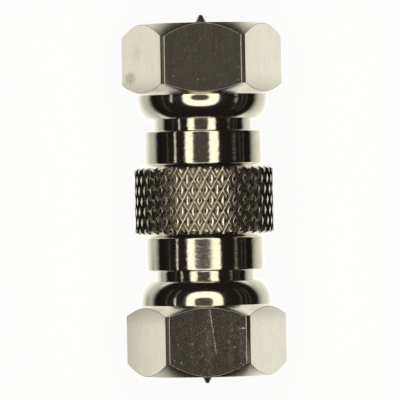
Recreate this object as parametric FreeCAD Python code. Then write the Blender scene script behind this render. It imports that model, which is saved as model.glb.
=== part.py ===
"""A coaxial F adapter with a plug at both ends: a knurled, turned body with a captive
hexagon coupling nut on each end and one centre contact that runs through it.

The adapter lies as it comes to rest, on one flat of each nut. Its axis is Y, +Z is up,
and the origin is on the axis at the middle of the knurled band. End A points along +Y,
end B along -Y. Lengths are in millimetres. An axial place is a distance from the origin
towards an end, and in a nut it is a depth from the nut's open mouth.
"""

import FreeCAD, Part

import math
import os

from FreeCAD import Vector

# Coupling nuts. The thread sets the size of what lies inside and outside it.
thread_diameter = 9.6           # 3/8-32 UNEF, major diameter with its clearance
nut_wall = 0.75                 # from the thread's bore out to the flats
nut_corner_trim = 0.09          # radial, off the sharp corners of the hexagon
nut_hex_length = 5.6
nut_mouth_land_inset = 0.05     # from the flats in to where the mouth's chamfer starts
nut_mouth_chamfer_angle = 52.0  # from the end face
nut_back_land_inset = 0.2
nut_back_chamfer_angle = 41.0   # from the hexagon's back face
nut_skirt_inset = 0.36          # from the flats in to the round skirt
nut_skirt_length = 1.9
nut_skirt_straight = 0.25
nut_skirt_nose_radius = 2.4
nut_gap = 0.9                   # from the body's shoulder to the nut, at mid float
mouth_countersink = 0.35
lip_step = 0.8                  # radial, from the thread's bore in to the lip's
lip_length = 2.3
lip_clearance = 0.075           # radial, between the lip and the neck

# Snap rings that hold the nuts on
ring_thickness = 0.6
ring_radial_width = 0.63
ring_gap = 1.5
ring_inset = 1.1                # from the nut's back to the middle of the ring
ring_nut_bite = 0.28            # how far the ring stands out past the lip's bore
ring_nut_radial_clearance = 0.07
ring_nut_side_clearance = 0.025
nut_float = 0.20                # axial travel of a nut each way from the middle
float_side_clearance = 0.03
ring_closed_clearance = 0.05    # under the ring when it is squeezed in to fit the nut
nut_shift = {"a": 0.06, "b": -0.06}  # outward, as the nuts lie

# Turned body
barrel_length = 11.0            # between the two shoulders that the nuts face
nose_land = 1.17                # neck between the ring's groove and the mating face
nose_chamfer = 0.25
groove_wall = 0.645             # between the ring's groove and the insulator's bore

# Knurled band round the middle of the body
knurl_lift = 0.05               # under the band, when the nuts' flats rest on a surface
knurl_height = 0.825            # how far the band stands out of the barrels
knurl_width = 4.9               # between the chamfers, over the tops of the diamonds
knurl_chamfer_angle = 30.0      # from the band's end face
knurl_teeth = 36                # grooves of each hand round the band
knurl_helix_angle = 30.0
knurl_depth = 0.30
knurl_flat_share = 0.34         # width of a diamond's top, as a share of the pitch
knurl_runout = 0.03             # radial step from the groove's root down to the smooth cone

# Insulators and centre contact
insulator_length = 3.85
insulator_recess = 0.15         # from the mating face in to the insulator's face
chamber_step = 0.3              # radial, of the shoulder that the insulator is pressed against
contact_pin_diameter = 1.0
contact_pin_projection = 5.4    # past the mating face, with the contact in the middle
contact_seat_diameter = 1.6     # where the insulators hold the contact
contact_collar_diameter = 2.4   # between the insulators
contact_end_play = 0.15         # between the collar and each insulator
contact_shift = 0.12            # the contact lies this much nearer to end A
contact_tip_diameter = 0.26
contact_tip_angle = 27.0        # slope of the tip's cone, from the axis

AXIS = Vector(0, 1, 0)
ORIGIN = Vector(0, 0, 0)

# Radii that follow from those sizes
thread_radius = thread_diameter / 2
flat_radius = thread_radius + nut_wall
corner_radius = flat_radius * 2 / math.sqrt(3) - nut_corner_trim
lip_radius = thread_radius - lip_step
neck_radius = lip_radius - lip_clearance
ring_outer_radius = lip_radius + ring_nut_bite
ring_inner_radius = ring_outer_radius - ring_radial_width
nut_groove_radius = ring_outer_radius + ring_nut_radial_clearance
body_groove_radius = neck_radius - ring_radial_width - ring_closed_clearance
insulator_radius = body_groove_radius - groove_wall
chamber_radius = insulator_radius - chamber_step
knurl_radius = flat_radius - knurl_lift
barrel_radius = knurl_radius - knurl_height
knurl_root_radius = knurl_radius - knurl_depth
pin_radius = contact_pin_diameter / 2
seat_radius = contact_seat_diameter / 2

# Places that follow from those sizes
nut_length = nut_hex_length + nut_skirt_length
barrel_end = barrel_length / 2
nut_mouth = barrel_end + nut_gap + nut_length
ring_depth = nut_length - ring_inset
ring_middle = nut_mouth - ring_depth
nut_groove_half_width = ring_thickness / 2 + ring_nut_side_clearance
body_groove_half_width = ring_thickness / 2 + nut_float + float_side_clearance
mating_face = ring_middle + body_groove_half_width + nose_land
insulator_face = mating_face - insulator_recess
insulator_seat = insulator_face - insulator_length

knurl_columns = 2 * knurl_teeth
knurl_column_angle = 2 * math.pi / knurl_columns
knurl_row_length = knurl_column_angle * knurl_radius / math.tan(math.radians(knurl_helix_angle))


def rise(angle, radial):
    """Axial length of a cone whose side stands at an angle from the end face."""
    return radial * math.tan(math.radians(angle))


def mirrored(half):
    """A profile's upper half, then the same points turned over for the lower half."""
    return half + [(radius, -place) for radius, place in reversed(half)]


def turned(profile):
    """A solid of revolution about the axis. The profile's points are (radius, place), and a
    step of two such points is the middle and the end of an arc."""
    edges = []
    start = Vector(*profile[0], 0)
    here = start
    for step in profile[1:] + [profile[0]]:
        if isinstance(step[0], tuple):
            middle = Vector(*step[0], 0)
            end = Vector(*step[1], 0)
            edges.append(Part.Arc(here, middle, end).toShape())
        else:
            end = Vector(*step, 0)
            edges.append(Part.LineSegment(here, end).toShape())
        here = end
    return Part.Face(Part.Wire(edges)).revolve(ORIGIN, AXIS, 360)


def for_end(shape, end):
    """A piece made for end A, turned round for end B."""
    if end == "b":
        shape.rotate(ORIGIN, Vector(0, 0, 1), 180)
    return shape


class Facets:
    """A closed faceted solid, made triangle by triangle from points on a cylindrical grid."""

    def __init__(self):
        self.points = []
        self.index = {}
        self.triangles = []

    def point(self, column, place, radius):
        key = (round(column % knurl_columns, 4), round(place, 6), round(radius, 6))
        if key not in self.index:
            angle = column * knurl_column_angle
            self.index[key] = len(self.points)
            self.points.append(Vector(radius * math.cos(angle), place, radius * math.sin(angle)))
        return self.index[key]

    def quad(self, a, b, c, d):
        self.triangles.append((a, b, c))
        self.triangles.append((a, c, d))

    def solid(self):
        shape = Part.Shape()
        shape.makeShapeFromMesh((self.points, self.triangles), 0.0001)
        solid = Part.Solid(Part.Shell(shape.Faces))
        if solid.Volume < 0:
            solid.reverse()
        return solid


def knurled_ring(inner_radius):
    """A ring covered with diamonds. Grooves of the two hands cross at every second point of
    the grid, and a diamond with a flat top and four flanks stands between four crossings."""
    facets = Facets()
    rows = math.ceil(knurl_width / 2 / knurl_row_length) + 1
    around = ((-1, 0), (0, -1), (1, 0), (0, 1))

    def corners(column, row, reach, radius):
        return [
            facets.point(column + x * reach, (row + y * reach) * knurl_row_length, radius)
            for x, y in around
        ]

    for row in range(-rows, rows + 1):
        for column in range((row + 1) % 2, knurl_columns, 2):
            top = corners(column, row, knurl_flat_share, knurl_radius)
            root = corners(column, row, 1, knurl_root_radius)
            inner = corners(column, row, 1, inner_radius)
            facets.quad(*top)
            facets.quad(*reversed(inner))
            for side in range(4):
                after = (side + 1) % 4
                facets.quad(root[side], root[after], top[after], top[side])
                if abs(row + around[side][1] + around[after][1]) > rows:
                    facets.quad(inner[side], inner[after], root[after], root[side])
    return facets.solid()


def band_envelope(end_radius):
    """The band between its two chamfers. Each chamfer has one flat facet to a tooth, over the
    last row of diamonds, and the facets' corners are over the crossings between them."""
    facets = Facets()
    widest = knurl_radius + knurl_depth
    to_corner = 1 / math.cos(knurl_column_angle)
    last_row = round(knurl_width / 2 / knurl_row_length)

    def place(radius):
        return knurl_width / 2 + rise(knurl_chamfer_angle, knurl_radius - radius)

    levels = mirrored([(widest, place(widest)), (end_radius, place(end_radius))][::-1])
    for corner in range(last_row % 2, knurl_columns, 2):
        sides = [
            [facets.point(column, height, radius * to_corner) for radius, height in levels]
            for column in (corner, corner + 2)
        ]
        for low in range(len(levels) - 1):
            facets.quad(sides[0][low], sides[1][low], sides[1][low + 1], sides[0][low + 1])
        for level, order in ((0, 1), (-1, -1)):
            centre = facets.point(0, levels[level][1], 0)
            facets.triangles.append((centre, *(side[level] for side in sides[::-order])))
    return facets.solid().removeSplitter()


def adapter_body():
    """One turned piece: knurled band, two barrels, and a neck with a ring groove at each end."""
    core_radius = knurl_root_radius - 1.5 * knurl_runout
    cone_start = knurl_width / 2 + rise(knurl_chamfer_angle, knurl_radius - knurl_runout - core_radius)
    cone_end = knurl_width / 2 + rise(knurl_chamfer_angle, knurl_height - knurl_runout)
    core = turned(mirrored([
        (chamber_radius, insulator_seat),
        (insulator_radius, insulator_seat),
        (insulator_radius, mating_face),
        (neck_radius - nose_chamfer, mating_face),
        (neck_radius, mating_face - nose_chamfer),
        (neck_radius, ring_middle + body_groove_half_width),
        (body_groove_radius, ring_middle + body_groove_half_width),
        (body_groove_radius, ring_middle - body_groove_half_width),
        (neck_radius, ring_middle - body_groove_half_width),
        (neck_radius, barrel_end),
        (barrel_radius, barrel_end),
        (barrel_radius, cone_end),
        (core_radius, cone_start),
    ]))
    ring = knurled_ring(barrel_radius)
    band = ring.common(band_envelope(knurl_root_radius - knurl_runout))
    return core.fuse(band)


def insulator(end):
    """A bush pressed into the body against its shoulder. It holds the contact in its bore."""
    bush = turned([
        (seat_radius, insulator_seat),
        (insulator_radius, insulator_seat),
        (insulator_radius, insulator_face),
        (seat_radius, insulator_face),
    ])
    return for_end(bush, end)


def centre_contact():
    """One pin with a pointed end in each plug, and a collar caught between the insulators."""
    tip = mating_face + contact_pin_projection
    tip_radius = contact_tip_diameter / 2
    cone_length = (pin_radius - tip_radius) / math.tan(math.radians(contact_tip_angle))
    collar_end = insulator_seat - contact_end_play
    seat_end = insulator_face + contact_shift
    half = [
        (0, tip),
        (tip_radius, tip),
        (pin_radius, tip - cone_length),
        (pin_radius, seat_end),
        (seat_radius, seat_end),
        (seat_radius, collar_end),
        (contact_collar_diameter / 2, collar_end),
    ]
    contact = turned(mirrored(half))
    contact.translate(AXIS * contact_shift)
    return contact


def nut_outside():
    """The nut's outline turned about the axis, before its flats: the mouth's chamfer, the
    corners, the back chamfer and the rounded skirt."""
    mouth_land = flat_radius - nut_mouth_land_inset
    back_land = flat_radius - nut_back_land_inset
    skirt = flat_radius - nut_skirt_inset
    skirt_start = nut_hex_length + nut_skirt_straight
    nose_angle = math.asin((nut_length - skirt_start) / nut_skirt_nose_radius)

    def on_nose(angle):
        return (
            skirt - nut_skirt_nose_radius * (1 - math.cos(angle)),
            skirt_start + nut_skirt_nose_radius * math.sin(angle),
        )

    return turned([
        (0, 0),
        (mouth_land, 0),
        (corner_radius, rise(nut_mouth_chamfer_angle, corner_radius - mouth_land)),
        (corner_radius, nut_hex_length - rise(nut_back_chamfer_angle, corner_radius - back_land)),
        (back_land, nut_hex_length),
        (skirt, nut_hex_length),
        (skirt, skirt_start),
        (on_nose(nose_angle / 2), on_nose(nose_angle)),
        (0, nut_length),
    ])


def nut_hollow():
    """The nut's inside: countersunk thread bore, then the lip's bore with the ring's groove."""
    return turned([
        (0, 0),
        (thread_radius + mouth_countersink, 0),
        (thread_radius, mouth_countersink),
        (thread_radius, nut_length - lip_length),
        (lip_radius, nut_length - lip_length),
        (lip_radius, ring_depth - nut_groove_half_width),
        (nut_groove_radius, ring_depth - nut_groove_half_width),
        (nut_groove_radius, ring_depth + nut_groove_half_width),
        (lip_radius, ring_depth + nut_groove_half_width),
        (lip_radius, nut_length),
        (0, nut_length),
    ])


def coupling_nut(end):
    """A hexagon nut with a rounded skirt. Its lip runs on the neck and is grooved for the ring."""
    across_corners = flat_radius * 2 / math.sqrt(3)
    hexagon = [
        Vector(across_corners * math.cos(corner * math.pi / 3), 0, across_corners * math.sin(corner * math.pi / 3))
        for corner in range(7)
    ]
    bar = Part.Face(Part.makePolygon(hexagon)).extrude(AXIS * nut_length)
    nut = nut_outside().common(bar).cut(nut_hollow())
    nut.rotate(ORIGIN, Vector(0, 0, 1), 180)
    nut.translate(AXIS * (nut_mouth + nut_shift[end]))
    return for_end(nut, end)


def snap_ring(end):
    """A split spring ring, half in the nut's groove and half in the body's."""
    low = ring_middle + nut_shift[end] - ring_thickness / 2
    high = low + ring_thickness
    ring = turned([
        (ring_inner_radius, low),
        (ring_outer_radius, low),
        (ring_outer_radius, high),
        (ring_inner_radius, high),
    ])
    split = Part.makeBox(ring_gap, ring_thickness, ring_outer_radius, Vector(-ring_gap / 2, low, 0))
    return for_end(ring.cut(split), end)


def main():
    pieces = {"adapter_body": adapter_body(), "centre_contact": centre_contact()}
    for end in ("a", "b"):
        pieces["insulator_" + end] = insulator(end)
        pieces["coupling_nut_" + end] = coupling_nut(end)
        pieces["snap_ring_" + end] = snap_ring(end)
    os.makedirs("parts", exist_ok=True)
    for name, shape in pieces.items():
        shape.exportStep("parts/" + name + ".step")
        print(name, "solids", len(shape.Solids), "valid", shape.isValid(), "mm3", round(shape.Volume, 3))


main()
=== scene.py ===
"""The looks of a coaxial F adapter: nickel-plated nuts and body with a diamond knurl.

Everything is in the row frame, in metres. The shapes below are written in millimetres, as
radii from the adapter's axis (Y) and places along it, and scaled when a mesh is made.
"""

import math

import bmesh
import bpy
import numpy as np
from mathutils import Matrix, Vector

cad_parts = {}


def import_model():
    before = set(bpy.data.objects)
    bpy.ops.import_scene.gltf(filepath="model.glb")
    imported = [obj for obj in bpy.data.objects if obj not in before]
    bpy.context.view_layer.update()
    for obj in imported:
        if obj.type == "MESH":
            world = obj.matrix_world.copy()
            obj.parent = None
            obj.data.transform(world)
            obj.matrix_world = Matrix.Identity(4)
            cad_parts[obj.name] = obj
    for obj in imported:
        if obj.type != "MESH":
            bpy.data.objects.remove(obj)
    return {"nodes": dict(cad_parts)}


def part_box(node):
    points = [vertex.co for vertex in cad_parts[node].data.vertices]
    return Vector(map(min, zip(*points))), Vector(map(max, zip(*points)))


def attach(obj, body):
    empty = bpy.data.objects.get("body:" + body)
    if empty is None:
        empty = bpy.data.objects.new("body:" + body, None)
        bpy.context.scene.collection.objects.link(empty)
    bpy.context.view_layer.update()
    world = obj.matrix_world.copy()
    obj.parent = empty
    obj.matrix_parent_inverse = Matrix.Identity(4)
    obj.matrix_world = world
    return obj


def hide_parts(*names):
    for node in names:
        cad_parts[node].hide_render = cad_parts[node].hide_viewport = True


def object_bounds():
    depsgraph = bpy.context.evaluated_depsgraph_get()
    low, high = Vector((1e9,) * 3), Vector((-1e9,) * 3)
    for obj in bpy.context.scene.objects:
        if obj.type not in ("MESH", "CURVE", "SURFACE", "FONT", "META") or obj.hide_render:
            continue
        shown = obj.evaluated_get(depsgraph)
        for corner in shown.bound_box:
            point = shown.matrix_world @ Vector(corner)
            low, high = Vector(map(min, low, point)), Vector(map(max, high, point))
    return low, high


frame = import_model()
cad_low, cad_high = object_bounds()

MM = 0.001
ENDS = {"a": 1, "b": -1}

# Coupling nut, as in the CAD. Depths run from the open mouth, and a groove is its radius and
# half its width.
FLAT_RADIUS = 5.55
CORNER_RADIUS = 6.3186
HEX_LENGTH = 5.6
NUT_LENGTH = 7.5
MOUTH_LAND = 5.5
BACK_LAND = 5.35
MOUTH_ANGLE = 52
BACK_ANGLE = 41
SKIRT_RADIUS = 5.19
SKIRT_START = 5.85
NOSE_RADIUS = 2.4
BORE_RADIUS = 4.8
BORE_DEPTH = 5.2
COUNTERSINK = 0.35
LIP_RADIUS = 4.0
RING_DEPTH = 6.4
NUT_GROOVE = (4.35, 0.325)

# Thread ridge, with half its width at its foot and at its crest. It fades in at a rate per
# turn, and starts with a share of its height.
THREAD_PITCH = 0.79375
THREAD_SPAN = (0.55, 4.95)
THREAD_FOOT_RADIUS = BORE_RADIUS + 0.03
THREAD_HEIGHT = 0.46
THREAD_FOOT = 0.34
THREAD_CREST = 0.11
THREAD_STEPS = 96
THREAD_FADE = 3
THREAD_LEAST = 0.02

# Body, as in the CAD. Places run from the middle of the knurled band.
KNURL_RADIUS = 5.5
KNURL_HALF = 2.45
KNURL_SLOPE = math.tan(math.radians(60))
KNURL_TEETH = 36
BARREL_RADIUS = 4.675
BARREL_END = 5.5
NECK_RADIUS = 3.925
RING_MIDDLE = 7.5
BODY_GROOVE = (3.245, 0.53)
MATING_FACE = 9.2
MATING_CHAMFER = 0.25
INSULATOR_RADIUS = 2.6
INSULATOR_SPAN = (5.2, 9.05)
CHAMBER_RADIUS = 2.3

# Section of the knurl's grooves. The roots of the two hands are the width of a land and the
# angle by which its sides lean.
KNURL_DEPTH = 0.31
KNURL_FLANK = 56
KNURL_CREST_FILLET = 0.035
KNURL_CROWN = 0.02
KNURL_ROOTS = ((0.11, 18), (0.075, 13))
KNURL_SECOND_LIFT = 0.025
COLUMN_ANGLE = math.pi / KNURL_TEETH
ROW_LENGTH = COLUMN_ANGLE * KNURL_RADIUS * math.sqrt(3)

# The turned part starts on the band's chamfers, this high over the barrels, and the knurled
# skin stops a little before it.
RIM_HEIGHT = 0.13
RIM_GAP = 0.02

# Centre contact, as in the CAD
CONTACT_RADIUS = 0.5
TIP_RADIUS = 0.13
TIP_ANGLE = 27
SEAT_RADIUS = 0.8
SEAT_SPAN = (5.05, 9.17)
WAIST_RADIUS = 1.2

# Where the half sections of the body and the contact end, before they are mirrored, and how
# far from a corner the body's long straights have a point more
MIRROR_PLACE = 0.5
BARREL_HOLD = 0.2
NECK_HOLD = 0.15

# Fineness of the meshes, and the width over which the hexagon's corners are eased
FILLET_STEPS = 3
TIP_STEPS = 4
BODY_COLUMNS = 288
CONTACT_COLUMNS = 96
INSULATOR_COLUMNS = 160
NOSE_STEPS = 16
FLAT_STEPS = 18
EASE_STEPS = 5
CORNER_EASE = 0.05
SHARP_ANGLE = 38
MERGE_DISTANCE = 1e-8

# Finish of the nuts, by points of their section. They are counted from the mouth, four to each
# rounded corner: the edges of a flat at both of its ends, the straight between them, and how
# turned the chamfers are. Wear along the straight has a value for each corner strip, and runs
# on beside the dull corner up to where its bend ends, in degrees from the corner. These values
# make the plate rougher, and where they lie at the sides they also paint shade into it.
FLAT_EDGES = (5, 6, 9, 10)
FLAT_STRAIGHT = (7, 8)
TURNED_POINTS = {0: 1.0, 1: 1.0, 2: 1.0, 3: 1.0, 4: 1.0, 11: 0.4, 12: 0.4}
CORNER_WEAR_AND_SHADE = {"a": (0.3, 0.3, 0.8, 0.3, 0.3, 0.3), "b": (0.3, 0.1, 0.8, 0.3, 0.3, 0.3)}
DULL_CORNER = 1
BEND_END = 1.84


# Meshes

def rounded(profile, steps=FILLET_STEPS):
    """A profile of (radius, place, fillet) points with each corner turned into an arc."""
    points = [np.array(p[:2], float) for p in profile]
    count = len(profile)
    found = []
    for i, (here, fillet) in enumerate(zip(points, [p[2] for p in profile])):
        before, after = points[i - 1] - here, points[(i + 1) % count] - here
        if not fillet:
            found.append(tuple(here))
            continue
        reach = 0.45 * min(np.linalg.norm(before), np.linalg.norm(after))
        before, after = before / np.linalg.norm(before), after / np.linalg.norm(after)
        half = math.acos(max(-1, min(1, before @ after))) / 2
        tangent = min(fillet / math.tan(half), reach)
        radius = tangent * math.tan(half)
        middle = before + after
        centre = here + middle / np.linalg.norm(middle) * radius / math.sin(half)
        first, last = here + before * tangent - centre, here + after * tangent - centre
        sweep = math.pi - 2 * half
        for step in range(steps + 1):
            share = step / steps
            a = math.sin((1 - share) * sweep) / math.sin(sweep)
            b = math.sin(share * sweep) / math.sin(sweep)
            found.append(tuple(centre + first * a + last * b))
    return found


def mirrored(profile):
    """A half profile and its mirror image at the other end."""
    return profile + [(radius, -place) for radius, place in reversed(profile)]


def at(angle, radius, place):
    """A point at an angle round the axis."""
    return (radius * math.cos(angle), place, radius * math.sin(angle))


def grid(columns, closed=True):
    """Vertices and quads of columns of points that go right round the axis."""
    height = len(columns[0])
    vertices = [point for column in columns for point in column]
    faces = []
    for i in range(len(columns)):
        here, after = i * height, (i + 1) % len(columns) * height
        for j in range(height if closed else height - 1):
            k = (j + 1) % height
            faces.append((here + j, after + j, after + k, here + k))
    return vertices, faces


def lathe(profile, columns, closed=True):
    """A profile of radii and places turned about the axis."""
    angles = [2 * math.pi * i / columns for i in range(columns)]
    return grid([[at(angle, r, y) for r, y in profile] for angle in angles], closed)


def piece(name, shape, body, stands_for, material):
    """A mesh object with outward normals that rides on a body, in place of a CAD node if one
    is given. The shape is its vertices, its faces and, on a nut, named values per vertex."""
    vertices, faces, *named = shape
    mesh = bpy.data.meshes.new(name)
    mesh.from_pydata([tuple(c * MM for c in v) for v in vertices], [], faces)
    for key, values in (named[0] if named else {}).items():
        mesh.attributes.new(key, "FLOAT", "POINT").data.foreach_set("value", values)
    work = bmesh.new()
    work.from_mesh(mesh)
    bmesh.ops.remove_doubles(work, verts=work.verts, dist=MERGE_DISTANCE)
    bmesh.ops.dissolve_degenerate(work, edges=work.edges, dist=MERGE_DISTANCE)
    bmesh.ops.recalc_face_normals(work, faces=work.faces)
    work.to_mesh(mesh)
    work.free()
    mesh.shade_smooth()
    mesh.set_sharp_from_angle(angle=math.radians(SHARP_ANGLE))
    mesh.materials.append(material)
    obj = bpy.data.objects.new(name, mesh)
    bpy.context.scene.collection.objects.link(obj)
    weigh = obj.modifiers.new("normals", "WEIGHTED_NORMAL")
    weigh.weight = 50
    weigh.keep_sharp = True
    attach(obj, body)
    if stands_for:
        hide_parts(stands_for)


def cut(points, triangles, value):
    """Triangles cut where the value is zero: points (x, z, place, radius), the triangles on
    its low side and those on its high side."""
    points = list(points)
    values = [value(p) for p in points]
    made = {}
    sides = ([], [])

    def crossing(i, j):
        key = (min(i, j), max(i, j))
        if key not in made:
            share = values[i] / (values[i] - values[j])
            mixed = points[i] * (1 - share) + points[j] * share
            mixed[:2] /= np.linalg.norm(mixed[:2])
            made[key] = len(points)
            points.append(mixed)
            values.append(0.0)
        return made[key]

    for triangle in triangles:
        signs = [0 if abs(values[i]) < 1e-9 else math.copysign(1, values[i]) for i in triangle]
        if min(signs) >= 0 or max(signs) <= 0:
            sides[max(signs) > 0].append(triangle)
            continue
        for side, keep in enumerate((-1, 1)):
            loop = []
            for k in range(3):
                i, j = triangle[k], triangle[(k + 1) % 3]
                if signs[k] != -keep:
                    loop.append(i)
                if signs[k] * signs[(k + 1) % 3] < 0:
                    loop.append(crossing(i, j))
            for k in range(1, len(loop) - 1):
                sides[side].append((loop[0], loop[k], loop[k + 1]))
    return points, sides[0], sides[1]


def groove_section(width, lean, lift):
    """Half a knurl groove's section and its mirror image: places across it, as shares of the
    pitch, and heights over the deepest root. The root is a land that is hollowed until its
    sides lean by an angle, and an arc rounds the edge of the crowned top."""
    slope, lean = math.radians(KNURL_FLANK), math.radians(lean)
    hollow = width / 2 / math.sin(lean)
    root = lift + hollow * (1 - math.cos(lean))
    edge = KNURL_DEPTH - KNURL_CROWN
    fillet = KNURL_CREST_FILLET
    crest = edge - fillet * (1 - math.cos(slope))
    crest_end = width / 2 + (crest - root) / math.tan(slope) + fillet * math.sin(slope)
    half = [
        (hollow * math.sin(a), lift + hollow * (1 - math.cos(a)))
        for a in (0, lean / 2, lean)
    ]
    half += [
        (crest_end - fillet * math.sin(a), edge - fillet * (1 - math.cos(a)))
        for a in (slope, slope / 2, 0)
    ]
    half = [(place / ROW_LENGTH, height) for place, height in half] + [(0.5, KNURL_DEPTH)]
    whole = half + [(1 - place, height) for place, height in reversed(half[1:-1])]
    return [place for place, _ in whole], [height for _, height in whole]


def knurl_grid(reach):
    """Points and triangles of the two hands' crossing grooves, on as many rows each way as
    are given. s and t count the grooves of the two hands, and a groove runs where one is
    whole. The second hand's are a little shallower, so the first hand's run through them."""
    offset_s, height_s = groove_section(*KNURL_ROOTS[0], 0.0)
    offset_t, height_t = groove_section(*KNURL_ROOTS[1], KNURL_SECOND_LIFT)
    cell = len(offset_s)
    index, points, triangles = {}, [], []

    def point(fine_s, fine_t):
        key = (fine_s - fine_t, (fine_s + fine_t) % (2 * KNURL_TEETH * cell))
        if key not in index:
            i, a = divmod(fine_s, cell)
            j, b = divmod(fine_t, cell)
            s, t = i + offset_s[a], j + offset_t[b]
            angle = (s + t) * COLUMN_ANGLE
            radius = KNURL_RADIUS - KNURL_DEPTH + min(height_s[a], height_t[b])
            place = (s - t) * ROW_LENGTH
            index[key] = len(points)
            points.append(np.array((math.cos(angle), math.sin(angle), place, radius)))
        return index[key]

    def diamond(i, j):
        for a in range(cell):
            for b in range(cell):
                corners = [
                    point(i * cell + a + x, j * cell + b + y)
                    for x, y in ((0, 0), (1, 0), (1, 1), (0, 1))
                ]
                if (a < cell / 2) != (b < cell / 2):
                    corners = corners[1:] + corners[:1]
                triangles.append((corners[0], corners[1], corners[2]))
                triangles.append((corners[0], corners[2], corners[3]))

    for row in range(-reach, reach + 1):
        first = math.ceil(row / 2)
        for i in range(first, first + KNURL_TEETH):
            diamond(i, i - row)
    return points, triangles


def knurl_skin(cut_place):
    """Vertices and faces of the knurled surface between two places, with its chamfers."""
    def chamfer(p):
        return KNURL_RADIUS - max(0, abs(p[2]) - KNURL_HALF) * KNURL_SLOPE

    points, triangles = knurl_grid(math.ceil(cut_place / ROW_LENGTH))
    points, below, above = cut(points, triangles, lambda p: p[3] - chamfer(p))
    points, kept, _ = cut(points, below + above, lambda p: abs(p[2]) - cut_place)
    radii = [min(p[3], chamfer(p)) for p in points]
    used = sorted({i for triangle in kept for i in triangle})
    renumber = {old: new for new, old in enumerate(used)}
    vertices = [(points[i][0] * radii[i], points[i][2], points[i][1] * radii[i]) for i in used]
    return vertices, [tuple(renumber[i] for i in triangle) for triangle in kept]


def zipped(vertices, loop, other):
    """Triangles between two loops of vertices that go round the axis."""
    def angle(i):
        return math.atan2(vertices[i][2], vertices[i][0]) % (2 * math.pi)

    loops = [sorted(found, key=angle) for found in (loop, other)]
    angles = [[angle(i) for i in found] for found in loops]
    done = [0, 0]
    faces = []
    while done[0] < len(loops[0]) or done[1] < len(loops[1]):
        coming = []
        for side in (0, 1):
            ahead, count = done[side] + 1, len(loops[side])
            turn = angles[side][ahead % count] + 2 * math.pi * (ahead // count)
            coming.append(turn if done[side] < count else math.inf)
        side = 0 if coming[0] <= coming[1] else 1
        here = [loops[k][done[k] % len(loops[k])] for k in (0, 1)]
        ahead = loops[side][(done[side] + 1) % len(loops[side])]
        faces.append((here[0], here[1], ahead))
        done[side] += 1
    return faces


def body_profile(cone_end, rim_place):
    """The turned part of the body, from the rim of the band's chamfer at one end, down the
    neck and through the bore, to the rim at the other end."""
    groove, half_width = BODY_GROOVE
    return mirrored(rounded([
        (BARREL_RADIUS + RIM_HEIGHT, rim_place, 0),
        (BARREL_RADIUS, cone_end, 0.1),
        (BARREL_RADIUS, cone_end + BARREL_HOLD, 0),
        (BARREL_RADIUS, BARREL_END - BARREL_HOLD, 0),
        (BARREL_RADIUS, BARREL_END, 0.08),
        (NECK_RADIUS, BARREL_END, 0.06),
        (NECK_RADIUS, BARREL_END + NECK_HOLD, 0),
        (NECK_RADIUS, RING_MIDDLE - half_width - NECK_HOLD, 0),
        (NECK_RADIUS, RING_MIDDLE - half_width, 0.03),
        (groove, RING_MIDDLE - half_width, 0.03),
        (groove, RING_MIDDLE + half_width, 0.03),
        (NECK_RADIUS, RING_MIDDLE + half_width, 0.03),
        (NECK_RADIUS, MATING_FACE - MATING_CHAMFER, 0.04),
        (NECK_RADIUS - MATING_CHAMFER, MATING_FACE, 0.04),
        (INSULATOR_RADIUS, MATING_FACE, 0.05),
        (INSULATOR_RADIUS, INSULATOR_SPAN[0], 0.02),
        (CHAMBER_RADIUS, INSULATOR_SPAN[0], 0.04),
        (CHAMBER_RADIUS, MIRROR_PLACE, 0),
    ]))


def body_mesh():
    """The turned part and the knurled skin, zipped together at the band's two rims."""
    cone_end = KNURL_HALF + (KNURL_RADIUS - BARREL_RADIUS) / KNURL_SLOPE
    rim_place = cone_end - RIM_HEIGHT / KNURL_SLOPE
    skin_end = rim_place - RIM_GAP
    profile = body_profile(cone_end, rim_place)
    vertices, faces = lathe(profile, BODY_COLUMNS, closed=False)
    skin, skin_faces = knurl_skin(skin_end)
    shift = len(vertices)
    vertices = vertices + skin
    faces = faces + [tuple(i + shift for i in face) for face in skin_faces]
    for side, station in ((1, 0), (-1, len(profile) - 1)):
        loop = [shift + i for i, v in enumerate(skin) if abs(v[1] * side - skin_end) < 1e-6]
        other = [column * len(profile) + station for column in range(BODY_COLUMNS)]
        faces += zipped(vertices, loop, other)
    return vertices, faces


def curve(start, corner, finish, share):
    """A place on the curve that leaves start towards a corner and ends at finish."""
    weights = ((1 - share) ** 2, 2 * share * (1 - share), share ** 2)
    ends = (start, corner, finish)
    return tuple(sum(w * p[axis] for w, p in zip(weights, ends)) for axis in (0, 1))


def nut_outline():
    """Angles and radii round the hexagon's section, with the corners trimmed to a narrow
    strip and eased at both of its edges. A flat has no points close to where it is eased."""
    edge = math.acos(FLAT_RADIUS / CORNER_RADIUS)
    half_flat = FLAT_RADIUS * math.tan(edge)
    along = [half_flat * k / FLAT_STEPS for k in range(1 - FLAT_STEPS, FLAT_STEPS)]
    clear = half_flat - 1.2 * CORNER_EASE
    flat = [(FLAT_RADIUS, x) for x in along if abs(x) < clear]
    turn = edge + CORNER_EASE / CORNER_RADIUS
    start = (FLAT_RADIUS, half_flat - CORNER_EASE)
    corner = (FLAT_RADIUS, half_flat)
    finish = (CORNER_RADIUS * math.cos(turn), CORNER_RADIUS * math.sin(turn))
    bend = [curve(start, corner, finish, k / EASE_STEPS) for k in range(EASE_STEPS + 1)]
    strip = [
        (CORNER_RADIUS * math.cos(a), CORNER_RADIUS * math.sin(a))
        for a in np.linspace(turn, math.pi / 3 - turn, 4)[1:-1]
    ]
    outline = [(radial, -x) for radial, x in reversed(bend)] + flat + bend + strip
    found = []
    for side in range(6):
        base = side * math.pi / 3 + math.pi / 6
        found += [(base + math.atan2(x, radial), math.hypot(radial, x)) for radial, x in outline]
    return found


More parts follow.
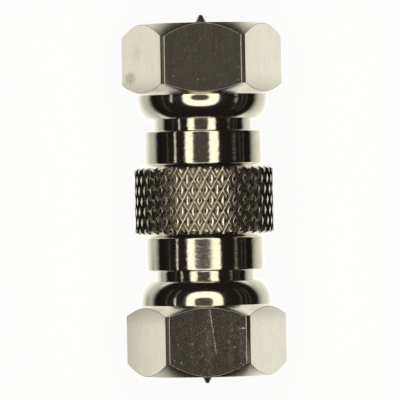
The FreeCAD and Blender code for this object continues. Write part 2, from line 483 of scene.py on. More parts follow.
def nut_column(outer):
    """The nut's section in a half plane where the hexagon reaches out to a radius."""
    front = (outer - MOUTH_LAND) * math.tan(math.radians(MOUTH_ANGLE))
    back = HEX_LENGTH - (outer - BACK_LAND) * math.tan(math.radians(BACK_ANGLE))
    groove, half_width = NUT_GROOVE
    nose_end = math.asin((NUT_LENGTH - SKIRT_START) / NOSE_RADIUS)
    nose = [
        (SKIRT_RADIUS - NOSE_RADIUS * (1 - math.cos(a)), SKIRT_START + NOSE_RADIUS * math.sin(a), 0)
        for a in np.linspace(0, nose_end, NOSE_STEPS)[:-1]
    ]
    back_edge = SKIRT_RADIUS - NOSE_RADIUS * (1 - math.cos(nose_end))
    return rounded([
        (MOUTH_LAND, 0, 0.03),
        (outer, front, 0.06),
        (outer, back, 0.06),
        (BACK_LAND, HEX_LENGTH, 0.01),
        (SKIRT_RADIUS, HEX_LENGTH, 0.01),
        *nose,
        (back_edge, NUT_LENGTH, 0.02),
        (LIP_RADIUS, NUT_LENGTH, 0.04),
        (LIP_RADIUS, RING_DEPTH + half_width, 0.02),
        (groove, RING_DEPTH + half_width, 0.02),
        (groove, RING_DEPTH - half_width, 0.02),
        (LIP_RADIUS, RING_DEPTH - half_width, 0.02),
        (LIP_RADIUS, BORE_DEPTH, 0.04),
        (BORE_RADIUS, BORE_DEPTH, 0.05),
        (BORE_RADIUS, COUNTERSINK, 0.03),
        (BORE_RADIUS + COUNTERSINK, 0, 0.03),
    ])


def bar_wear_and_shade(end, angle, outer):
    """How rubbed the nut is along the bar at an angle: the strips at its corners are, and so
    are the bends beside one of them. The same value paints shade where it lies at the sides."""
    degrees = math.degrees(angle)
    corner = round(degrees / 60) % 6
    if outer > CORNER_RADIUS - 0.001:
        return CORNER_WEAR_AND_SHADE[end][corner]
    off_corner = abs((degrees + 30) % 60 - 30)
    return 1.0 if corner == DULL_CORNER and off_corner < BEND_END else 0.0


def nut_mesh(end, mouth, sign):
    """The nut's vertices and faces, and two values of each vertex: how rubbed it is, which
    also sets painted shade at the sides, and how much of a turned finish it has."""
    columns, wear_and_shade_values, turned = [], [], []
    for angle, outer in nut_outline():
        column = nut_column(outer)
        columns.append([at(angle, radius, sign * (mouth - depth)) for radius, depth in column])
        along = bar_wear_and_shade(end, angle, outer)
        wear_and_shade = dict.fromkeys(FLAT_EDGES, 1.0) | dict.fromkeys(FLAT_STRAIGHT, along)
        wear_and_shade_values += [wear_and_shade.get(i, 0.0) for i in range(len(column))]
        turned += [TURNED_POINTS.get(i, 0.0) for i in range(len(column))]
    return (*grid(columns), {"edge": wear_and_shade_values, "turned": turned})


def thread_mesh(mouth, sign):
    """The right-hand thread's ridge, a wedge wound down the bore and faded at both ends."""
    first, last = THREAD_SPAN
    count = round((last - first) / THREAD_PITCH * THREAD_STEPS)
    columns = []
    for i in range(count + 1):
        turn, left = i / THREAD_STEPS, (count - i) / THREAD_STEPS
        fade = min(1, THREAD_FADE * turn + THREAD_LEAST, THREAD_FADE * left + THREAD_LEAST)
        depth = first + turn * THREAD_PITCH
        crest = THREAD_FOOT_RADIUS - THREAD_HEIGHT * fade
        section = (
            (THREAD_FOOT, THREAD_FOOT_RADIUS),
            (THREAD_CREST, crest),
            (-THREAD_CREST, crest),
            (-THREAD_FOOT, THREAD_FOOT_RADIUS),
        )
        angle = 2 * math.pi * turn * sign
        columns.append([at(angle, r, sign * (mouth - depth - x)) for x, r in section])
    vertices = [point for column in columns for point in column]
    faces = [(0, 1, 2, 3), tuple(4 * count + k for k in (3, 2, 1, 0))]
    for i in range(count):
        for k in range(4):
            a, b = 4 * i + k, 4 * i + (k + 1) % 4
            faces.append((a, b, b + 4, a + 4))
    return vertices, faces


def contact_mesh():
    """The centre contact. It isn't the same on both sides of the middle, as it lies a little
    towards end A."""
    low, high = (c.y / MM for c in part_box("centre_contact"))
    middle = (low + high) / 2
    tip = (high - low) / 2
    cone = (CONTACT_RADIUS - TIP_RADIUS) / math.tan(math.radians(TIP_ANGLE))
    half = rounded([
        (0, tip, 0),
        (TIP_RADIUS, tip, 0.05),
        (CONTACT_RADIUS, tip - cone, 0.08),
        (CONTACT_RADIUS, SEAT_SPAN[1], 0.03),
        (SEAT_RADIUS, SEAT_SPAN[1], 0.05),
        (SEAT_RADIUS, SEAT_SPAN[0], 0.03),
        (WAIST_RADIUS, SEAT_SPAN[0], 0.08),
        (WAIST_RADIUS, MIRROR_PLACE, 0),
    ], TIP_STEPS)
    profile = [(max(r, 1e-5), y + middle) for r, y in mirrored(half[:-1])]
    return lathe(profile, CONTACT_COLUMNS, closed=False)


def insulator_mesh(sign):
    """A bush with a bore for the contact's seat."""
    low, high = INSULATOR_SPAN
    profile = rounded([
        (SEAT_RADIUS, low, 0.05),
        (INSULATOR_RADIUS, low, 0.08),
        (INSULATOR_RADIUS, high, 0.08),
        (SEAT_RADIUS, high, 0.06),
    ])
    return lathe([(r, sign * y) for r, y in profile], INSULATOR_COLUMNS)


# Materials

class Shade:
    """A node tree of a material or the world, with short calls for the nodes it needs."""

    def __init__(self, name, holder=None):
        self.holder = holder or bpy.data.materials.new(name)
        self.holder.use_nodes = True
        self.tree = self.holder.node_tree
        self.tree.nodes.clear()

    def node(self, kind, inputs=None, **settings):
        node = self.tree.nodes.new(kind)
        for key, value in settings.items():
            setattr(node, key, value)
        for key, value in (inputs or {}).items():
            self.put(node.inputs[key], value)
        return node

    def put(self, socket, value):
        if isinstance(value, bpy.types.NodeSocket):
            self.tree.links.new(value, socket)
        else:
            socket.default_value = value

    def maths(self, operation, *values, clamp=False):
        node = self.node("ShaderNodeMath", operation=operation, use_clamp=clamp)
        for socket, value in zip(node.inputs, values):
            self.put(socket, value)
        return node.outputs[0]

    def add(self, first, second, clamp=False):
        return self.maths("ADD", first, second, clamp=clamp)

    def subtract(self, first, second):
        return self.maths("SUBTRACT", first, second)

    def times(self, first, second):
        return self.maths("MULTIPLY", first, second)

    def larger(self, first, second):
        return self.maths("MAXIMUM", first, second)

    def power(self, value, exponent):
        return self.maths("POWER", value, exponent)

    def size(self, value):
        return self.maths("ABSOLUTE", value)

    def rest(self, share):
        """What a share leaves of one."""
        return self.subtract(1.0, share)

    def squares(self, *parts):
        """The sum of the squares of some values."""
        total = self.times(parts[0], parts[0])
        for part in parts[1:]:
            total = self.add(total, self.times(part, part))
        return total

    def length(self, *parts):
        return self.maths("SQRT", self.squares(*parts))

    def remap(self, value, low, high, to_low=0.0, to_high=1.0, smooth=False):
        node = self.node("ShaderNodeMapRange", clamp=True)
        if smooth:
            node.interpolation_type = "SMOOTHSTEP"
        for socket, item in zip(node.inputs, (value, low, high, to_low, to_high)):
            self.put(socket, item)
        return node.outputs[0]

    def place(self):
        """Local place in millimetres, split into x, y and z."""
        where = self.node("ShaderNodeTexCoord").outputs["Object"]
        scaled = self.node("ShaderNodeVectorMath", {0: where, "Scale": 1 / MM}, operation="SCALE")
        split = self.node("ShaderNodeSeparateXYZ", {0: scaled.outputs[0]})
        return split.outputs[0], split.outputs[1], split.outputs[2]

    def value(self, name):
        """A named value of the mesh's vertices."""
        return self.node("ShaderNodeAttribute", attribute_name=name).outputs["Fac"]

    def vector(self, x, y, z):
        return self.node("ShaderNodeCombineXYZ", {0: x, 1: y, 2: z}).outputs[0]

    def scaled(self, where, *scales):
        """A vector of a place whose x, y and z are each multiplied by a scale."""
        parts = [part if scale == 1 else self.times(part, scale) for part, scale in zip(where, scales)]
        return self.vector(*parts)

    def noise(self, vector, scale=1.0, detail=2.0, rough=0.5):
        node = self.node("ShaderNodeTexNoise", {
            "Vector": vector, "Scale": scale, "Detail": detail, "Roughness": rough,
        })
        return node.outputs[0]

    def blend(self, share, first, second):
        node = self.node("ShaderNodeMix", data_type="RGBA", clamp_factor=True)
        self.put(node.inputs[0], share)
        self.put(node.inputs[6], first)
        self.put(node.inputs[7], second)
        return node.outputs[2]

    def bump(self, height, distance, normal=None):
        """A bump that is as many millimetres high as the distance where the height is one."""
        node = self.node("ShaderNodeBump", {"Height": height, "Distance": distance * MM})
        if normal:
            self.put(node.inputs["Normal"], normal)
        return node.outputs[0]

    def surface(self, **inputs):
        shader = self.node("ShaderNodeBsdfPrincipled", {
            key.replace("_", " ").title(): value for key, value in inputs.items()
        })
        self.node("ShaderNodeOutputMaterial", {0: shader.outputs[0]})
        return self.holder


def colour(r, g, b):
    return (r, g, b, 1.0)


# Colours. A pair is mixed by a noise.
BODY_NICKEL = (colour(0.69, 0.665, 0.545), colour(0.64, 0.61, 0.49))
GROOVE_NICKEL = colour(0.55, 0.48, 0.35)
# Darker, browner nickel on the knurl's flanks
DARK_FLANK_NICKEL = colour(0.37, 0.33, 0.27)
NUT_NICKEL = (colour(0.72, 0.70, 0.57), colour(0.67, 0.645, 0.52))
TURNED_NICKEL = colour(0.84, 0.81, 0.67)
# A dark mottle, and painted shade on the nuts' front flats
MOTTLE_AND_SHADE_NICKEL = colour(0.34, 0.31, 0.25)
# Painted shade on the nuts' edges at the sides
SIDE_EDGE_SHADE_NICKEL = colour(0.15, 0.13, 0.10)
SMEARED_NICKEL = colour(0.5, 0.46, 0.36)
CONTACT_NICKEL = (colour(0.36, 0.33, 0.27), colour(0.29, 0.26, 0.21))
CONTACT_SHEEN = colour(0.3, 0.28, 0.25)
PLASTIC = (colour(0.88, 0.88, 0.85), colour(0.81, 0.81, 0.77))
STEEL = (colour(0.47, 0.47, 0.48), colour(0.55, 0.55, 0.54))
PALE_FLOOR = colour(0.9, 0.9, 0.89)
DARK_FLOOR = colour(0.01, 0.009, 0.009)
DARK_SKY = colour(0.0155, 0.0127, 0.0125)
WHITE = colour(1.0, 1.0, 1.0)

# Heights over which marks and painted shade on the flat that faces up come in, and
# distances from the middle plane over which painted shade comes in on the nut's edges
FRONT_FLAT = (5.3, 5.5)
DARK_EDGES = (3.0, 3.4)

# Knurled band: its end, and the radii over which its crests and its roots give way to flanks
BAND_END = 2.9
CREST_RADII = (5.40, 5.48)
ROOT_RADII = (5.24, 5.28)

# The radius by which an angle is made a width for the turning marks
MARK_RADIUS = 4.7

# Patches, each a centre, a size and a softness
BARREL_HAZE = ((-0.1, -4.25, 4.6), (1.0, 1.9, 1.4), 0.3)
SMEAR_ON_A = ((-5.2, 11.7, 2.1), (0.6, 1.0, 1.2), 0.8)
BLOT_ON_A = ((-5.65, 9.75, 1.2), (0.75, 0.65, 1.3), 0.6)
GASH_ON_B = ((2.80, -10.02, 5.55), (0.3, 0.07, 0.3), 0.4)

# Paler bands on nut B, which are rougher and are left out of the front flat's painted shade;
# each a centre, a size and a strength
BAND_SOFTNESS = 0.8
BANDS_ON_B = (
    ((0.05, -11.0, 5.5), (0.55, 3.4, 0.9), 1.0),
    ((-1.2, -11.2, 5.5), (0.26, 2.6, 0.9), 0.6),
    ((1.75, -11.0, 5.5), (0.28, 3.0, 0.9), 0.7),
    ((2.60, -11.2, 5.5), (0.40, 3.0, 0.9), 0.8),
)

# Scratches on nut B, each a start, an end, a width and how ragged it is
LONG_SCRATCH = ((0.15, -8.35), (0.62, -12.2), 0.05, 0.03)
STRAND = ((0.04, -8.5), (0.24, -9.9), 0.04, 0.0)
FAINT_SCRATCH = ((-1.08, -8.65), (-1.28, -9.4), 0.045, 0.0)

# Nicks, each an x, a y and half its width
NICKS_ON_A = (
    (-2.31, 11.07, 0.06),
    (-2.36, 10.28, 0.05),
    (-2.31, 9.80, 0.06),
    (2.74, 10.37, 0.07),
    (2.72, 9.41, 0.05),
    (1.35, 9.11, 0.05),
)
NICKS_ON_B = (
    (2.69, -8.97, 0.10),
    (2.09, -11.51, 0.10),
    (2.85, -11.93, 0.08),
    (1.87, -10.18, 0.05),
    (-2.13, -12.65, 0.09),
    (-1.25, -11.26, 0.06),
    (-0.51, -12.15, 0.07),
)


def front_flat(shade, where, aside=0.0, front=1.0):
    """One value on the flat that faces up and another below it."""
    return shade.remap(where[2], *FRONT_FLAT, aside, front)


def round_place(shade, where):
    """Cylindrical place about the axis: angle, then place and radius in millimetres."""
    x, y, z = where
    return shade.maths("ARCTAN2", z, x), y, shade.length(x, z)


def line_mask(shade, where, start, end, width, ragged):
    """How much a place in the plane (x, y) lies on a scratch from start to end."""
    x, y = where[:2]
    length = math.dist(start, end)
    along = ((end[0] - start[0]) / length, (end[1] - start[1]) / length)
    dx = shade.subtract(x, start[0])
    dy = shade.subtract(y, start[1])
    run = shade.add(shade.times(dx, along[0]), shade.times(dy, along[1]))
    off = shade.subtract(shade.times(dx, along[1]), shade.times(dy, along[0]))
    wander = shade.noise(shade.scaled((0.0, run, 3.0), 1, 2.5, 1), rough=0.6)
    off = shade.add(off, shade.times(shade.subtract(wander, 0.5), 3.0 * width))
    across = shade.remap(shade.size(off), width * 0.4, width, 1.0, 0.0)
    inside = shade.times(
        shade.remap(run, 0.0, 0.2),
        shade.remap(run, length - 0.3, length, 1.0, 0.0),
    )
    broken = shade.noise(shade.vector(x, y, 9.0), 9.0, 2.0, 0.6)
    broken = shade.remap(broken, 0.5 - ragged, 0.5 - ragged + 0.12)
    return shade.times(shade.times(across, inside), shade.times(broken, front_flat(shade, where)))


def patch_mask(shade, where, centre, size, soft):
    """A soft blot round a place: centre and size in millimetres."""
    parts = [
        shade.maths("DIVIDE", shade.subtract(value, middle), reach)
        for value, middle, reach in zip(where, centre, size)
    ]
    distance = shade.length(*parts)
    ragged = shade.noise(shade.vector(*where), 2.6, 3.0, 0.65)
    distance = shade.add(distance, shade.times(shade.subtract(ragged, 0.5), 1.2))
    return shade.remap(distance, 1 - soft, 1.0, 1.0, 0.0)


def nick_mask(shade, where, places):
    """Small nicks on the front flat, each given as x, y and half its width."""
    x, y = where[:2]
    total = 0.0
    for middle_x, middle_y, reach in places:
        square = shade.squares(shade.subtract(x, middle_x), shade.subtract(y, middle_y))
        spot = shade.remap(square, 0.3 * reach ** 2, reach ** 2, 1.0, 0.0)
        total = shade.larger(total, spot)
    ragged = shade.noise(shade.vector(x, y, 2.0), 22.0, 2.0, 0.7)
    total = shade.times(total, shade.remap(ragged, 0.38, 0.55))
    return shade.times(total, front_flat(shade, where))


def body_nickel():
    """Turned nickel plate. Fine turning marks run round it, the knurl is a little browner below
    its crests and darker on the flanks of its grooves, and the front of the lower barrel is hazy."""
    shade = Shade("body_nickel")
    where = shade.place()
    angle, y, radius = round_place(shade, where)
    around = (shade.times(angle, MARK_RADIUS), y, radius)
    marks = shade.noise(shade.scaled(around, 1.6, 7.0, 1), rough=0.6)
    lines = shade.noise(shade.scaled((0.0, y, radius), 1, 16.0, 1), rough=0.7)
    stains = shade.noise(shade.vector(*around), 0.9, 3.0, 0.6)
    pits = shade.noise(shade.vector(*around), 6.5, 2.0, 0.6)
    band = shade.remap(shade.size(y), KNURL_HALF, BAND_END, 1.0, 0.0)
    low = shade.times(band, shade.remap(radius, *CREST_RADII, 1.0, 0.0))
    flank = shade.times(low, shade.remap(radius, *ROOT_RADII))

    clean = shade.blend(shade.remap(stains, 0.35, 0.7), *BODY_NICKEL)
    clean = shade.blend(shade.times(low, 0.2), clean, GROOVE_NICKEL)
    # The knurl's flanks are darker and browner, more so where the stains noise is high.
    flank_darkening = shade.times(flank, shade.remap(stains, 0.3, 0.7, 0.65, 0.95))
    base = shade.blend(flank_darkening, clean, DARK_FLANK_NICKEL)

    haze = patch_mask(shade, where, *BARREL_HAZE)
    dust = shade.noise(shade.scaled((around[0], y, 0.0), 1, 1.6, 1), 7.0, 3.0, 0.7)
    haze = shade.times(haze, shade.remap(dust, 0.35, 0.65, 0.6, 1.0))
    rough = shade.add(shade.remap(marks, 0.3, 0.7, 0.07, 0.12), shade.times(low, 0.1))
    rough = shade.add(rough, shade.times(haze, 0.095))

    normal = shade.bump(lines, 0.0003)
    normal = shade.bump(shade.times(marks, shade.rest(band)), 0.012, normal)
    normal = shade.bump(shade.times(pits, low), 0.002, normal)
    return shade.surface(base_color=base, metallic=1.0, roughness=rough, normal=normal)


def nut_colour(shade, where, specks, edge, turned):
    """Plate with a dark mottle, which painted shade makes strongest on the flat that faces up,
    painted shade on the edges at the sides, and paler on the turned chamfers."""
    wide = shade.noise(shade.scaled(where, 1, 0.5, 1), 1.1, 3.0, 0.6)
    base = shade.blend(shade.remap(wide, 0.3, 0.75), *NUT_NICKEL)
    mottle_and_shade = shade.noise(shade.scaled(where, 1, 0.8, 1), 5.5, 4.0, 0.8)
    mottle_and_shade = shade.remap(mottle_and_shade, 0.38, 0.58, specks, 0.0)
    # Painted shade: the dark mottle is much stronger on the flat that faces up than elsewhere.
    mottle_and_shade = shade.times(mottle_and_shade, front_flat(shade, where, 0.12, 0.8))
    base = shade.blend(mottle_and_shade, base, MOTTLE_AND_SHADE_NICKEL)
    # Painted shade: the edges at the sides are darkened, and those of the flat that faces up are not.
    at_side = shade.remap(shade.size(where[0]), *DARK_EDGES)
    wear_and_shade = shade.times(shade.remap(edge, 0.3, 0.9), at_side)
    base = shade.blend(wear_and_shade, base, SIDE_EDGE_SHADE_NICKEL)
    return shade.blend(shade.times(turned, 0.8), base, TURNED_NICKEL)


def nut_nickel(name, streaks, specks, marks):
    """Nickel plate over drawn hexagon bar: streaks run along it, and small nicks and dust
    catch the light. The turned chamfers are duller and have fewer nicks."""
    shade = Shade(name)
    where = shade.place()
    edge = shade.value("edge")
    turned = shade.value("turned")
    drawn = shade.rest(turned)
    fine = shade.noise(shade.scaled(where, 14.0, 0.7, 14.0), 1.0, 3.0, 0.65)
    grain = shade.times(shade.noise(shade.vector(*where), 7.5, 3.0, 0.7), drawn)
    dots = shade.noise(shade.vector(*where), 12.0, 1.0)
    nick = shade.remap(dots, 0.72 - 0.03 * specks, 0.80 - 0.02 * specks)
    nick = shade.times(nick, drawn)

    base = nut_colour(shade, where, specks, edge, turned)

    rubbed = shade.remap(edge, 0.05, 0.3)
    rough = shade.remap(fine, 0.3, 0.75, 0.09, 0.09 + 0.05 * streaks)
    rough = shade.add(rough, shade.remap(grain, 0.5, 0.8, 0.0, 0.12 * specks))
    for mask, share in ((nick, 0.15), (rubbed, 0.25), (turned, 0.17)):
        rough = shade.add(rough, shade.times(mask, share))

    normal = shade.bump(fine, 0.0004 * streaks)
    normal = shade.bump(grain, 0.0004 * specks, normal)
    normal = shade.bump(nick, 0.001, normal)
    base, rough, normal = marks(shade, where, base, rough, normal)
    return shade.surface(base_color=base, metallic=1.0, roughness=rough, normal=normal)


def marks_on_a(shade, where, base, rough, normal):
    """A faint smear and a darker blot on the left flat, and streaks and a few nicks in front."""
    streaks = shade.noise(shade.scaled((*where[:2], 1.0), 2.6, 0.2, 1), 1.0, 3.0, 0.7)
    streaks = shade.remap(streaks, 0.35, 0.65, 0.0, 0.16)
    streaks = shade.times(streaks, front_flat(shade, where))
    base = shade.blend(streaks, base, MOTTLE_AND_SHADE_NICKEL)
    smear = patch_mask(shade, where, *SMEAR_ON_A)
    blot = patch_mask(shade, where, *BLOT_ON_A)
    dull = shade.add(shade.times(smear, 0.3), shade.times(blot, 0.6), clamp=True)
    base = shade.blend(dull, base, SMEARED_NICKEL)
    rough = shade.add(rough, shade.times(dull, 0.3))
    nicks = nick_mask(shade, where, NICKS_ON_A)
    rough = shade.add(rough, shade.times(nicks, 0.10))
    return base, rough, shade.bump(nicks, 0.0015, normal)


def marks_on_b(shade, where, base, rough, normal):
    """The long scratch down the front flat, paler bands that run along the bar, painted shade
    on the front flat outside those bands, and some nicks, the largest of them beside the
    right edge."""
    scratch = line_mask(shade, where, *LONG_SCRATCH)
    strand = line_mask(shade, where, *STRAND)
    faint = line_mask(shade, where, *FAINT_SCRATCH)
    gash = patch_mask(shade, where, *GASH_ON_B)
    nicks = nick_mask(shade, where, NICKS_ON_B)
    pale = 0.0
    for centre, size, share in BANDS_ON_B:
        band = patch_mask(shade, where, centre, size, BAND_SOFTNESS)
        pale = shade.larger(pale, shade.times(band, share))
    # Painted shade: the front flat is darkened outside the paler bands.
    dark = shade.times(shade.rest(pale), front_flat(shade, where, 0.0, 0.3))
    base = shade.blend(dark, base, MOTTLE_AND_SHADE_NICKEL)
    thin = shade.times(shade.add(faint, strand), 0.5)
    cuts = shade.add(shade.add(scratch, thin), gash, clamp=True)
    for mask, share in ((pale, 0.035), (cuts, 0.11), (nicks, 0.10)):
        rough = shade.add(rough, shade.times(mask, share))
    normal = shade.bump(cuts, 0.003, normal)
    return base, rough, shade.bump(nicks, 0.0015, normal)


def contact_nickel():
    """Dull nickel plate with turning marks and stains."""
    shade = Shade("contact_nickel")
    angle, y, radius = round_place(shade, shade.place())
    lines = shade.noise(shade.scaled((0.0, y, 0.0), 1, 22.0, 1), rough=0.6)
    stains = shade.noise(shade.vector(angle, y, radius), 2.0, 2.0, 0.6)
    return shade.surface(
        base_color=shade.blend(stains, *CONTACT_NICKEL),
        metallic=1.0,
        roughness=shade.remap(stains, 0.3, 0.7, 0.28, 0.4),
        specular_tint=CONTACT_SHEEN,
        normal=shade.bump(lines, 0.002),
    )


def insulator_plastic():
    """White, slightly waxy plastic."""
    shade = Shade("insulator_plastic")
    where = shade.place()
    cloud = shade.noise(shade.vector(*where), 1.3, 3.0, 0.6)
    grain = shade.noise(shade.vector(*where), 18.0, 2.0, 0.6)
    return shade.surface(
        base_color=shade.blend(shade.remap(cloud, 0.3, 0.7), *PLASTIC),
        roughness=shade.remap(cloud, 0.3, 0.7, 0.4, 0.5),
        normal=shade.bump(grain, 0.004),
    )


def ring_steel():
    """Bare spring wire, drawn lengthwise."""
    shade = Shade("ring_steel")
    around = round_place(shade, shade.place())
    drawn = shade.noise(shade.scaled(around, 2.0, 24.0, 24.0), rough=0.6)
    return shade.surface(
        base_color=shade.blend(drawn, *STEEL),
        metallic=1.0,
        roughness=shade.remap(drawn, 0.3, 0.7, 0.25, 0.4),
        normal=shade.bump(drawn, 0.002),
    )


# Studio

LIGHT_HEIGHT = 1.2

# Outlines of the ring light as slopes seen from the object: middle x and y, then half the
# width and half the height
RING_INNER = (-0.096, 0.055, 0.292, 0.253)
RING_OUTER = (-0.091, 0.104, 0.641, 0.751)
RING_POINTS = 96
RING_POWER = 2 / 3
RING_TINT = (1.0, 0.97, 0.88)
RING_STRENGTH = 1.6
GAP_TINT = (1.0, 0.92, 0.84)
GAP_STRENGTH = 0.08

# Soft light from above
FILL_SIZE = 1.5
FILL_HEIGHT = 1.1
FILL_ENERGY = 12.0
FILL_TINT = (1.0, 0.985, 0.95)

# Thin strips of light: angle from straight up, width, reach along Y and strength
STRIP_TINT = (1.0, 0.92, 0.86)
STRIPS = {
    "strip_left": (-57.5, 1.5, (-0.25, 0.25), 2.2),
    "strip_left_far": (-57.5, 1.5, (0.25, 0.9), 0.35),
    "strip_left_faint": (-75, 1.0, (-0.9, 0.9), 0.2),
    "strip_right_low": (61.5, 6, (-0.3, -0.04), 0.4),
    "strip_right_1": (64, 1.2, (-0.9, 0.9), 0.18),
    "strip_right_2": (75, 1.2, (-0.9, 0.9), 0.12),
    "strip_right_3": (84, 1.5, (-0.9, 0.9), 0.12),
}

# Camera: distance and width of the field in metres, angles in degrees, shift in pixels
CAMERA_DISTANCE = 0.400
CAMERA_FIELD = 0.03172
CAMERA_LEAN = 1.2
CAMERA_ROLL = 1.08
CAMERA_SHIFT = (4.07, 0.5)
PICTURE_WIDTH = 400
SENSOR_WIDTH = 36

# Floor, in metres from the object's middle. Each pair is two places between which its
# brightness in the metal's reflections changes, and the other values say by how much.
FLOOR_HALF = 3
FLOOR_WHITE = 0.9
NUT_START = (0.0085, 0.0105)
BESIDE_FADE = (0.022, 0.032)
BESIDE_SHARE = 0.52
BESIDE_EXTRA = 0.2
BENEATH_FADE = (0.0055, 0.0125)
BENEATH_EXTRA = 0.4
GLOW_HALF = 0.015
GLOW_FADE = (0.008, 0.046)
GLOW_POWER = 2.0
TAIL_SLOPE = 1.3
TAIL_EDGE = (0.0, 0.005)
TAIL_FADE = (0.022, 0.085)
TAIL_POWER = 1.5
SHADE_LEFT = (-0.022, -0.016)
SHADE_RIGHT = (-0.013, -0.011)
SHADE_SHARE = 0.56
SHADE_LOWER = (-0.006, -0.004)
SHADE_UPPER_SHARE = 0.45


def stage_mesh(name, vertices, faces, material, hidden=("camera",)):
    """A sheet of the studio, hidden from some kinds of ray."""
    mesh = bpy.data.meshes.new(name)
    mesh.from_pydata(vertices, [], faces)
    mesh.materials.append(material)
    obj = bpy.data.objects.new(name, mesh)
    bpy.context.scene.collection.objects.link(obj)
    for ray in hidden:
        setattr(obj, "visible_" + ray, False)


def glow(name, tint, strength):
    """A material that only shines."""
    shade = Shade(name)
    light = shade.node("ShaderNodeEmission", {0: colour(*tint), 1: strength})
    shade.node("ShaderNodeOutputMaterial", {0: light.outputs[0]})
    return shade.holder


def ring_outline(middle_x, middle_y, half_width, half_height):
    """Points of a rounded rectangle at the lights' height."""
    found = []
    for i in range(RING_POINTS):
        turn = 2 * math.pi * i / RING_POINTS
        cosine, sine = math.cos(turn), math.sin(turn)
        x = middle_x + half_width * math.copysign(abs(cosine) ** RING_POWER, cosine)
        y = middle_y + half_height * math.copysign(abs(sine) ** RING_POWER, sine)
        found.append((x * LIGHT_HEIGHT, y * LIGHT_HEIGHT, LIGHT_HEIGHT))
    return found


def ring_light():
    """A soft ring light above the camera, with a nearly dark sheet in its opening."""
    inner, outer = ring_outline(*RING_INNER), ring_outline(*RING_OUTER)
    count = RING_POINTS
    faces = [(i, (i + 1) % count, count + (i + 1) % count, count + i) for i in range(count)]
    ring = glow("light_ring", RING_TINT, RING_STRENGTH)
    stage_mesh("light_ring", inner + outer, faces, ring)
    gap = glow("light_gap", GAP_TINT, GAP_STRENGTH)
    stage_mesh("light_gap", inner, [tuple(range(count))], gap)


def light_strip(name, angle, width, reach, strength):
    """A thin strip along Y, seen from the object at an angle from straight up. Its reach is
    its lowest and highest Y, as slopes."""
    a = math.radians(angle)
    half_width = math.tan(math.radians(width / 2))
    middle = Vector((math.sin(a), 0, math.cos(a))) * LIGHT_HEIGHT
    across = Vector((math.cos(a), 0, -math.sin(a))) * LIGHT_HEIGHT * half_width
    ends = [Vector((0, LIGHT_HEIGHT * slope, 0)) for slope in reach]
    corners = ((-1, 0), (1, 0), (1, 1), (-1, 1))
    vertices = [tuple(middle + across * side + ends[end]) for side, end in corners]
    material = glow(name, STRIP_TINT, strength)
    stage_mesh(name, vertices, [(0, 1, 2, 3)], material, ("camera", "diffuse"))


def fill_light():
    """Soft light for matt surfaces, so that a colour comes out about as it is written."""
    data = bpy.data.lights.new("fill", "AREA")
    data.size = FILL_SIZE
    data.energy = FILL_ENERGY
    data.color = FILL_TINT
    obj = bpy.data.objects.new("fill", data)
    obj.location = (0, 0, FILL_HEIGHT)
    obj.visible_camera = False
    obj.visible_glossy = False
    bpy.context.scene.collection.objects.link(obj)


def beside_nuts(shade, x, y):
    """How much a place on the floor is level with a nut or past it, and not too far aside."""
    along = shade.remap(shade.size(y), *NUT_START, 0.0, BESIDE_SHARE, smooth=True)
    return shade.times(along, shade.remap(shade.size(x), *BESIDE_FADE, 1.0, 0.0, smooth=True))


def floor_glow(shade, x, y, beside):
    """How bright the floor is in reflections: fully near the object, less and less further
    off, with a longer tail outward of both ends and a shade along the left side."""
    across = shade.times(x, shade.rest(beside))
    past = shade.larger(shade.subtract(shade.size(y), GLOW_HALF), 0.0)
    near = shade.remap(shade.length(across, past), *GLOW_FADE, 1.0, 0.0)
    near = shade.power(near, GLOW_POWER)
    outward = shade.subtract(shade.size(y), shade.times(shade.size(x), TAIL_SLOPE))
    outward = shade.remap(outward, *TAIL_EDGE, smooth=True)
    tail = shade.remap(shade.length(x, y), *TAIL_FADE, 1.0, 0.0)
    tail = shade.power(tail, TAIL_POWER)
    near = shade.larger(near, shade.times(tail, outward))
    shadow = shade.times(
        shade.remap(x, *SHADE_LEFT),
        shade.remap(x, *SHADE_RIGHT, SHADE_SHARE, 0.0),
    )
    shadow = shade.times(shadow, shade.remap(y, *SHADE_LOWER, 1.0, SHADE_UPPER_SHARE))
    return shade.times(near, shade.rest(shadow))


def floor():
    """A pale sheet, lit evenly for the camera. In the metal's reflections it is bright only
    near the object, and brightest beneath it and beside the nuts."""
    shade = Shade("floor")
    position = shade.node("ShaderNodeNewGeometry").outputs["Position"]
    split = shade.node("ShaderNodeSeparateXYZ", {0: position})
    x, y = split.outputs[0], split.outputs[1]
    path = shade.node("ShaderNodeLightPath")
    glossy = path.outputs["Is Glossy Ray"]
    seen = shade.larger(path.outputs["Is Camera Ray"], path.outputs["Is Transmission Ray"])

    beside = beside_nuts(shade, x, y)
    near = floor_glow(shade, x, y, beside)
    far = shade.times(glossy, shade.rest(near))
    matt = shade.node("ShaderNodeBsdfDiffuse", {0: shade.blend(far, PALE_FLOOR, DARK_FLOOR)})

    beneath = shade.remap(shade.size(x), *BENEATH_FADE, BENEATH_EXTRA, 0.0, smooth=True)
    extra = shade.add(beneath, shade.times(beside, BESIDE_EXTRA))
    strength = shade.add(1.0, shade.times(glossy, extra))
    white = shade.node("ShaderNodeEmission", {0: WHITE, 1: strength})

    bright = shade.larger(seen, shade.times(glossy, near))
    mixed = shade.node("ShaderNodeMixShader", {
        0: shade.times(bright, FLOOR_WHITE), 1: matt.outputs[0], 2: white.outputs[0],
    })
    shade.node("ShaderNodeOutputMaterial", {0: mixed.outputs[0]})
    corners = ((-1, -1), (1, -1), (1, 1), (-1, 1))
    vertices = [(FLOOR_HALF * i, FLOOR_HALF * j, cad_low.z) for i, j in corners]
    stage_mesh("floor", vertices, [(0, 1, 2, 3)], shade.holder, ())


def world():
    """White behind everything, and nearly dark for all that it lights."""
    holder = bpy.data.worlds.new("world")
    bpy.context.scene.world = holder
    shade = Shade("world", holder)
    path = shade.node("ShaderNodeLightPath")
    tint = shade.blend(path.outputs["Is Camera Ray"], DARK_SKY, WHITE)
    sky = shade.node("ShaderNodeBackground", {0: tint, 1: 1.0})
    shade.node("ShaderNodeOutputWorld", {0: sky.outputs[0]})


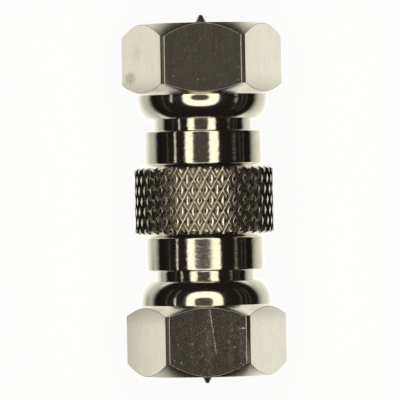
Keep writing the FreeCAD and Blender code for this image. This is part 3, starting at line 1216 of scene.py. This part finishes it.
def camera():
    """The photograph's view: straight down, a little from the left and rolled by a degree."""
    lean, roll = math.radians(CAMERA_LEAN), math.radians(CAMERA_ROLL)
    aside = Vector((math.cos(lean), 0, math.sin(lean)))
    right = aside * math.cos(roll) - Vector((0, 1, 0)) * math.sin(roll)
    up = aside * math.sin(roll) + Vector((0, 1, 0)) * math.cos(roll)
    back = right.cross(up)
    data = bpy.data.cameras.new("camera")
    data.sensor_width = SENSOR_WIDTH
    data.lens = SENSOR_WIDTH * CAMERA_DISTANCE / CAMERA_FIELD
    data.clip_start, data.clip_end = 0.01, 10
    obj = bpy.data.objects.new("camera", data)
    pixel = CAMERA_FIELD / PICTURE_WIDTH
    shift_x, shift_y = CAMERA_SHIFT
    where = back * CAMERA_DISTANCE - right * shift_x * pixel + up * shift_y * pixel
    turn = Matrix((right, up, back)).transposed().to_4x4()
    obj.matrix_world = Matrix.Translation(where) @ turn
    bpy.context.scene.collection.objects.link(obj)
    bpy.context.scene.camera = obj


# The object

def nut(end, sign, material):
    """A coupling nut and its thread, from the place where the CAD has its mouth."""
    node = "coupling_nut_" + end
    body = "nut_" + end
    low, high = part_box(node)
    mouth = (high.y if sign > 0 else -low.y) / MM
    piece("nut_visual_" + end, nut_mesh(end, mouth, sign), body, node, material)
    piece("thread_visual_" + end, thread_mesh(mouth, sign), body, None, material)


def insulator(end, sign, material):
    """An insulator, on its side of the middle."""
    name, node = "insulator_visual_" + end, "insulator_" + end
    piece(name, insulator_mesh(sign), "body", node, material)


def snap_ring(end, material):
    """The ring keeps its CAD mesh."""
    ring = frame["nodes"]["snap_ring_" + end]
    ring.data.materials.clear()
    ring.data.materials.append(material)


piece("body_visual", body_mesh(), "body", "adapter_body", body_nickel())
piece("contact_visual", contact_mesh(), "body", "centre_contact", contact_nickel())
plastic = insulator_plastic()
nut_materials = {
    "a": nut_nickel("nut_nickel_a", 1.0, 0.35, marks_on_a),
    "b": nut_nickel("nut_nickel_b", 0.5, 1.0, marks_on_b),
}
steel = ring_steel()
for end, sign in ENDS.items():
    nut(end, sign, nut_materials[end])
    insulator(end, sign, plastic)
    snap_ring(end, steel)

ring_light()
for name, strip in STRIPS.items():
    light_strip(name, *strip)
fill_light()
floor()
world()
camera()

scene = bpy.context.scene
scene.view_settings.view_transform = "Standard"
